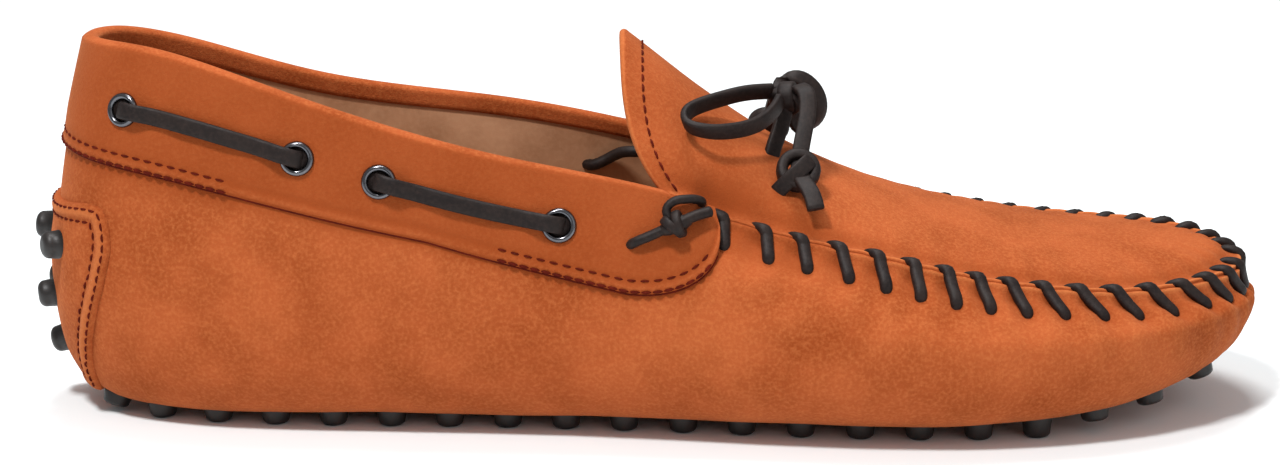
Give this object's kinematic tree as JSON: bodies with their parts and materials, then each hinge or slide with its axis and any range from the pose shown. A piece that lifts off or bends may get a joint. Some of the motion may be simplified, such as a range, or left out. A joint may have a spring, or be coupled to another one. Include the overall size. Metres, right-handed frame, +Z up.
{
  "type": "driving moccasin",
  "caption": "Low slip-on driving shoe in suede, with a rubber-studded sole, a whip-stitched plug and a side lace tied in a small bow.",
  "frame": {"origin": "on the floor under the heel, on the flat tip of the middle heel stud", "axes": "+X towards the toe, +Z up, -Y towards the outer side of the right foot"},
  "size_m": [0.2912, 0.1001, 0.0895],
  "materials": {
    "suede": "matt orange-brown suede nap",
    "rubber": "satin dark brown rubber",
    "footbed": "smooth tan leather",
    "gunmetal": "polished dark gunmetal",
    "lace": "dark brown satin leather lace"
  },
  "bodies": {
    "root": {"upper": "suede", "rubber_sole": "rubber", "insole": "footbed", "heel_patch": "suede", "heel_studs": "rubber", "eyelet_outer_1": "gunmetal", "eyelet_outer_2": "gunmetal", "eyelet_outer_3": "gunmetal", "eyelet_outer_4": "gunmetal", "eyelet_inner_1": "gunmetal", "eyelet_inner_2": "gunmetal", "eyelet_inner_3": "gunmetal", "eyelet_inner_4": "gunmetal", "lace_bar_outer_rear": "lace", "lace_bar_outer_front": "lace", "lace_bar_inner_rear": "lace", "lace_bar_inner_front": "lace", "corner_lace_outer": "lace", "corner_knot_outer": "lace", "corner_arc_outer": "lace", "corner_tail_outer": "lace", "tongue_lace_outer": "lace", "corner_lace_inner": "lace", "corner_knot_inner": "lace", "corner_arc_inner": "lace", "corner_tail_inner": "lace", "tongue_lace_inner": "lace", "bow_stem_outer": "lace", "bow_stem_inner": "lace", "bow_knot": "lace", "bow_loop_outer": "lace", "bow_loop_inner": "lace", "lace_end_outer": "lace", "end_knot_outer": "lace", "lace_tail_outer": "lace", "lace_end_inner": "lace", "end_knot_inner": "lace", "lace_tail_inner": "lace"}
  },
  "joints": []
}
